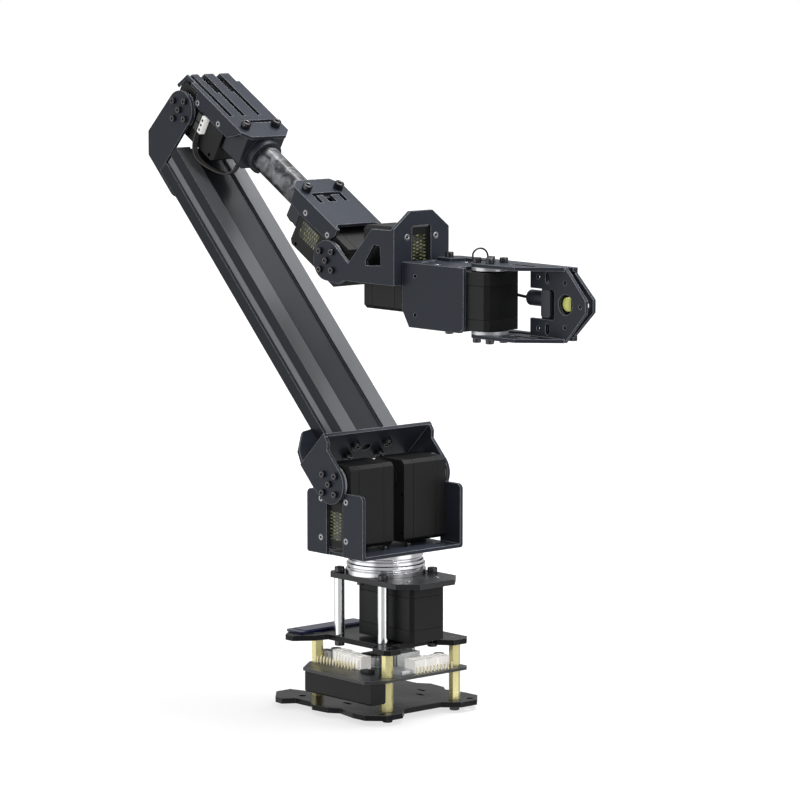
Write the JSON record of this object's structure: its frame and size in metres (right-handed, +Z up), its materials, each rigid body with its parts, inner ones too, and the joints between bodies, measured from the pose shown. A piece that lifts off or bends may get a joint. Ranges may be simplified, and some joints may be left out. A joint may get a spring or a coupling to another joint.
{
  "type": "robot arm",
  "caption": "Desktop robot arm on a turntable base, with servo joints, a profile upper arm, a tube forearm and a two-finger gripper.",
  "frame": {"origin": "on the ground, under the axis on which the turntable turns", "axes": "+Z up; +X forward, the way the arm points; the servos' pitch axes run along Y"},
  "size_m": [0.3269, 0.091, 0.3424],
  "materials": {
    "dark_sheet": "satin, anodised",
    "profile": "satin, anodised",
    "servo_plastic": "matte",
    "servo_cover": "fine grain",
    "black_plate": "glossy",
    "circuit_board": "semi-gloss",
    "white_plastic": "satin",
    "cooler": "satin",
    "display": "glossy",
    "brass": "bright",
    "chrome": "mirror",
    "polished_ring": "polished",
    "horn_metal": "satin",
    "black_screw": "black oxide",
    "carbon": "marbled gloss",
    "clamp": "satin, anodised",
    "lamp": "matte",
    "wire": "matte"
  },
  "bodies": {
    "base": {"base_plate": "black_plate", "base_screws": "black_screw", "lower_standoffs": "brass", "driver_board": "circuit_board", "board_plugs": "white_plastic", "board_cooler": "cooler", "power_module": "servo_plastic", "upper_standoffs": "brass", "mid_plate": "black_plate", "display_module": "display", "chrome_posts": "chrome", "servo_plate": "dark_sheet", "servo_plate_screws": "black_screw", "base_servo_body": "servo_plastic", "base_servo_covers": "servo_cover", "slewing_ring_fixed": "polished_ring"},
    "turntable": {"base_horn": "horn_metal", "slewing_ring_turning": "polished_ring", "turntable_bracket": "dark_sheet", "turntable_screws": "black_screw", "shoulder_left_servo_body": "servo_plastic", "shoulder_left_servo_covers": "servo_cover", "shoulder_right_servo_body": "servo_plastic", "shoulder_right_servo_covers": "servo_cover"},
    "upper_arm": {"shoulder_horns": "horn_metal", "upper_arm_bracket": "dark_sheet", "upper_arm_profile": "profile", "elbow_bracket": "dark_sheet", "upper_arm_screws": "black_screw", "elbow_horns": "horn_metal"},
    "forearm": {"elbow_servo_body": "servo_plastic", "elbow_servo_covers": "servo_cover", "forearm_rear_bracket": "dark_sheet", "rear_tube_clamp": "clamp", "carbon_tube": "carbon", "front_tube_clamp": "clamp", "forearm_front_bracket": "dark_sheet", "forearm_screws": "black_screw", "wrist_servo_body": "servo_plastic", "wrist_servo_covers": "servo_cover", "lead_plugs": "white_plastic", "elbow_lead": "wire"},
    "wrist": {"wrist_horns": "horn_metal", "wrist_bracket": "dark_sheet", "wrist_screws": "black_screw", "roll_servo_body": "servo_plastic", "roll_servo_covers": "servo_cover"},
    "gripper": {"roll_horn": "horn_metal", "gripper_bracket": "dark_sheet", "gripper_screws": "black_screw", "gripper_servo_body": "servo_plastic", "gripper_servo_covers": "servo_cover", "fixed_jaw": "dark_sheet", "lamp_module": "lamp", "lamp_wire": "wire"},
    "moving_jaw": {"jaw_horns": "horn_metal", "moving_jaw": "dark_sheet", "jaw_screws": "black_screw"}
  },
  "joints": [
    {"name": "base_yaw", "type": "hinge", "parent": "base", "child": "turntable", "pos_m": [0, 0, 0.0751], "axis": [0, 0, 1], "range_deg": [-120, 120]},
    {"name": "shoulder_pitch", "type": "hinge", "parent": "turntable", "child": "upper_arm", "pos_m": [-0.0017, 0, 0.1278], "axis": [0, 1, 0], "range_deg": [-25, 65]},
    {"name": "elbow_pitch", "type": "hinge", "parent": "upper_arm", "child": "forearm", "pos_m": [-0.15363, 0, 0.32268], "axis": [0, 1, 0], "range_deg": [-140, 10]},
    {"name": "wrist_pitch", "type": "hinge", "parent": "forearm", "child": "wrist", "pos_m": [-0.02625, 0, 0.24614], "axis": [0, -1, 0], "range_deg": [-45, 55]},
    {"name": "wrist_roll", "type": "hinge", "parent": "wrist", "child": "gripper", "pos_m": [0.02755, 0, 0.23154], "axis": [1, 0, 0], "range_deg": [-120, 120]},
    {"name": "jaw_swing", "type": "hinge", "parent": "gripper", "child": "moving_jaw", "pos_m": [0.08325, 0, 0.23154], "axis": [0, 0, 1], "range_deg": [-80, 4]}
  ]
}
